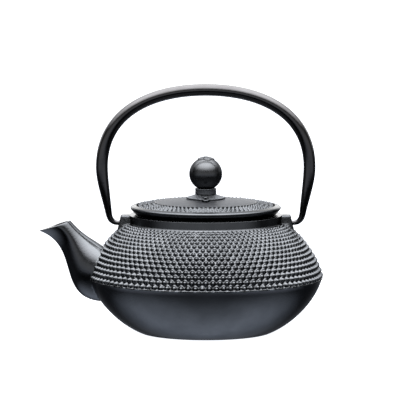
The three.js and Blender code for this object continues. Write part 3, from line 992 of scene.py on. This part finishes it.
def screw():
    radius, low = SCREW_HIGH[0], SCREW_LOW[2]
    seat = low + 2.2
    outline = rounded(
        [
            (0, low),
            (radius * 0.75, low + 0.15),
            (radius, low + 1.1, 0.6),
            (radius, seat, 0.2),
            (2, seat),
            (2, SCREW_HIGH[2] - 0.5),
            (1.5, SCREW_HIGH[2]),
            (0, SCREW_HIGH[2]),
        ]
    )
    obj = piece("knob_bolt", turned(outline, 64), [STEEL])
    slot = rod("slot", (-9, 0, low - 0.2), (9, 0, low - 0.2), 1.2, [STEEL])
    slot.scale = (1, 0.38, 1)
    combined(obj, "DIFFERENCE", [slot])
    shade(obj.data, 35)
    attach(obj, "lid")
    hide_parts("knob_screw")
    return obj


def washer():
    radius, low, high = WASHER_HIGH[0], WASHER_LOW[2], WASHER_HIGH[2]
    outline = rounded(
        [(2.35, low, 0.15), (radius, low, 0.25), (radius, high, 0.15), (2.35, high), (2.35, low)]
    )
    obj = piece("knob_bolt_washer", turned(outline[:-1], 72, closed=True), [STEEL])
    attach(obj, "lid")
    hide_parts("knob_washer")
    return obj


# ---------------------------------------------------------------------------- infuser


def woven(name, wires, material, node):
    """One mesh of many wires, each (path, first side, second side, closed)."""
    points, faces, count = [], [], 0
    for path, first, second, closed in wires:
        rings = [
            path + WIRE_RADIUS * (first * math.cos(a) + second * math.sin(a))
            for a in np.arange(4) * TURN / 4
        ]
        ring_points = np.stack(rings, 1)
        steps = len(path) if closed else len(path) - 1
        for i in range(steps):
            a, b = count + 4 * i, count + 4 * ((i + 1) % len(path))
            faces += [(a + k, a + (k + 1) % 4, b + (k + 1) % 4, b + k) for k in range(4)]
        if not closed:
            end = count + 4 * (len(path) - 1)
            faces += [(count + 3, count + 2, count + 1, count), (end, end + 1, end + 2, end + 3)]
        points.append(ring_points.reshape(-1, 3))
        count += 4 * len(path)
    obj = piece(name, (np.concatenate(points), faces), [material], 80)
    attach(obj, "infuser")
    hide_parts(node)
    return obj


def woven_wall():
    """The tapering wall: upright wires woven through level rings."""
    low, high = WALL_LOW[2] + WIRE_RADIUS, WALL_HIGH[2] - WIRE_RADIUS
    top_radius = WALL_HIGH[0] - 2 * WIRE_RADIUS
    foot_radius = top_radius - WALL_TAPER
    upright = int(TURN * top_radius / WEAVE_PITCH / 2) * 2
    level = int((high - low) / WEAVE_PITCH)
    wires = []
    for i in range(upright):
        angle = i * TURN / upright
        out = np.array([math.cos(angle), math.sin(angle), 0])
        along = np.array([-math.sin(angle), math.cos(angle), 0])
        share = np.arange(2 * level + 1) / (2 * level)
        wave = WIRE_RADIUS * np.cos(np.arange(2 * level + 1) * math.pi / 2 + math.pi * (i % 2))
        radius = lerp(foot_radius, top_radius, share) + wave
        path = radius[:, None] * out + np.stack([0 * share, 0 * share, lerp(low, high, share)], 1)
        wires.append((path, out, along, False))
    for j in range(level):
        share = (j + 0.5) / level
        angle = np.arange(2 * upright) * TURN / (2 * upright)
        out = np.stack([np.cos(angle), np.sin(angle), 0 * angle], 1)
        wave = WIRE_RADIUS * np.cos(np.arange(2 * upright) * math.pi / 2 + math.pi * (j % 2))
        radius = lerp(foot_radius, top_radius, share) + wave
        path = radius[:, None] * out + [0, 0, lerp(low, high, share)]
        wires.append((path, out, np.array([0, 0, 1.0]), True))
    return woven("infuser_weave", wires, WIRE, "infuser_wall")


def woven_disc():
    """The flat disc at the foot: wires both ways, over and under each other."""
    radius = DISC_HIGH[0]
    middle = (DISC_LOW[2] + DISC_HIGH[2]) / 2
    count = int(radius / WEAVE_PITCH)
    wires = []
    for i in range(-count, count + 1):
        place = i * WEAVE_PITCH
        half = math.sqrt(max(radius**2 - place**2, 0))
        steps = int(half / (WEAVE_PITCH / 2))
        if steps < 2:
            continue
        run = np.arange(-steps, steps + 1) * WEAVE_PITCH / 2
        wave = WIRE_RADIUS * np.cos(np.arange(-steps, steps + 1) * math.pi / 2 + math.pi * (i % 2))
        still = np.full(len(run), place)
        up = np.array([0, 0, 1.0])
        along_x = np.stack([run, still, middle + wave], 1)
        along_y = np.stack([still, run, middle - wave], 1)
        wires.append((along_x, np.array([0, 1.0, 0]), up, False))
        wires.append((along_y, np.array([1.0, 0, 0]), up, False))
    return woven("infuser_foot_weave", wires, WIRE, "infuser_base_mesh")


def infuser_rim():
    outer, top, low = RIM_HIGH[0], RIM_HIGH[2], RIM_LOW[2]
    throat = COLLAR_OUTSIDE
    outline = rounded(
        [
            (throat - SHEET, low, 0.2),
            (throat, low, 0.2),
            (throat, top - SHEET, 0.6),
            (outer, top - SHEET, 0.3),
            (outer, top, 0.3),
            (throat - SHEET, top, 0.9),
            (throat - SHEET, low),
        ]
    )
    obj = piece("infuser_lip", turned(outline[:-1], 120, closed=True), [STEEL])
    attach(obj, "infuser")
    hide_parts("infuser_rim")
    return obj


def infuser_foot():
    outer, low, high = RING_HIGH[0], RING_LOW[2], RING_HIGH[2]
    land = outer - 4.4
    outline = rounded(
        [
            (land, low, 0.2),
            (outer, low, 0.8),
            (outer, high, 0.2),
            (outer - SHEET, high, 0.2),
            (outer - SHEET, low + SHEET, 0.5),
            (land, low + SHEET, 0.2),
            (land, low),
        ]
    )
    obj = piece("infuser_foot_ring", turned(outline[:-1], 120, closed=True), [STEEL])
    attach(obj, "infuser")
    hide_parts("infuser_base_ring")
    return obj


# ------------------------------------------------------------------------------ stage


def worked(tree, operation, first, second):
    """The result of a maths node on two sockets."""
    node = tree.nodes.new("ShaderNodeMath")
    node.operation = operation
    tree.links.new(first, node.inputs[0])
    tree.links.new(second, node.inputs[1])
    return node.outputs["Value"]


def floor():
    """A pale sheet that glows a little. What the paint reflects from below is in sky()."""
    mesh = bpy.data.meshes.new("studio_floor")
    far = 12000 * MM
    sides = ((-far, -far), (far, -far), (far, far), (-far, far))
    corners = [(x, y, -FLOOR_DROP * MM) for x, y in sides]
    mesh.from_pydata(corners, [], [(0, 1, 2, 3)])
    material, tree, shader = new_material("studio_paper", FLOOR_COLOUR, Roughness=0.9)
    tone = ranged(tree, noise(tree, 40, detail=3), 0.3, 0.7, 0, 1)
    lighter = tuple(c * 1.02 for c in FLOOR_COLOUR)
    tree.links.new(mixed_colour(tree, tone, FLOOR_COLOUR, lighter), shader.inputs["Base Color"])
    shader.inputs["Emission Strength"].default_value = FLOOR_GLOW
    brightest = max(FLOOR_COLOUR)
    shader.inputs["Emission Color"].default_value = (*(c / brightest for c in FLOOR_COLOUR), 1)
    shader.inputs["Specular IOR Level"].default_value = 0
    mesh.materials.append(material)
    obj = bpy.data.objects.new("studio_floor", mesh)
    obj.visible_glossy = False
    bpy.context.scene.collection.objects.link(obj)
    return obj


def sky():
    """A soft studio that only the glossy paint reflects, as a function of direction.

    It is bright overhead, dim round the horizon but for a low band in front of the pot and a
    pale wall behind it, and lit from below through the table, most of all from behind.
    """
    world = bpy.data.worlds.new("studio")
    world.use_nodes = True
    world.cycles_visibility.diffuse = False
    bpy.context.scene.world = world
    tree = world.node_tree
    place = tree.nodes.new("ShaderNodeTexCoord")
    way = tree.nodes.new("ShaderNodeSeparateXYZ")
    tree.links.new(place.outputs["Generated"], way.inputs["Vector"])
    back, up = way.outputs["Y"], way.outputs["Z"]
    low, high = (math.sin(math.radians(angle)) for angle in SKY_EDGE)

    def product(first, second):
        return worked(tree, "MULTIPLY", first, second)

    total = ranged(tree, up, low, high, 0, SKY_BRIGHT)
    level = product(ranged(tree, up, -0.25, -0.12, 0, 1), ranged(tree, up, 0.15, 0.45, 1, 0))
    front = product(ranged(tree, back, -0.6, 0, FRONT_LIGHT, 0), level)
    wall = product(ranged(tree, back, 0.2, 0.95, 0, WALL_LIGHT), ranged(tree, up, 0, 0.12, 0, 1))
    below = ranged(tree, up, -0.85, -0.5, 1, 0.05)
    table = product(ranged(tree, back, -0.5, 0.5, *TABLE_LIGHT), below)
    for light in (front, wall, table):
        total = worked(tree, "ADD", total, light)
    background = tree.nodes["Background"]
    tint = mixed_colour(tree, ranged(tree, up, -0.2, 0.1, 0, 1), COOL_LIGHT, (1, 1, 1))
    tree.links.new(tint, background.inputs["Color"])
    tree.links.new(total, background.inputs["Strength"])


def sun():
    """A wide soft light from above, for the floor and for matt surfaces."""
    data = bpy.data.lights.new("overhead", "SUN")
    data.energy = SUN_STRENGTH
    data.angle = math.radians(120)
    obj = bpy.data.objects.new("overhead", data)
    obj.visible_glossy = False
    obj.rotation_euler = (math.radians(-12), 0, 0)
    bpy.context.scene.collection.objects.link(obj)


def camera():
    data = bpy.data.cameras.new("photo")
    data.sensor_width = 36
    data.lens = 36 * VIEW_DISTANCE / VIEW_WIDTH
    obj = bpy.data.objects.new("photo", data)
    tilt = math.radians(VIEW_ELEVATION)
    away = Vector((0, -math.cos(tilt), math.sin(tilt))) * VIEW_DISTANCE * MM
    obj.location = Vector(VIEW_TARGET) * MM + away
    obj.rotation_euler = (math.pi / 2 - tilt, 0, 0)
    data.clip_end = 100
    bpy.context.scene.collection.objects.link(obj)
    bpy.context.scene.camera = obj


pot()
bail()
lid()
seat_plate()
collar()
knob_ball()
screw()
washer()
infuser_rim()
infuser_foot()
woven_wall()
woven_disc()
floor()
sky()
sun()
camera()
bpy.context.scene.view_settings.view_transform = "Standard"
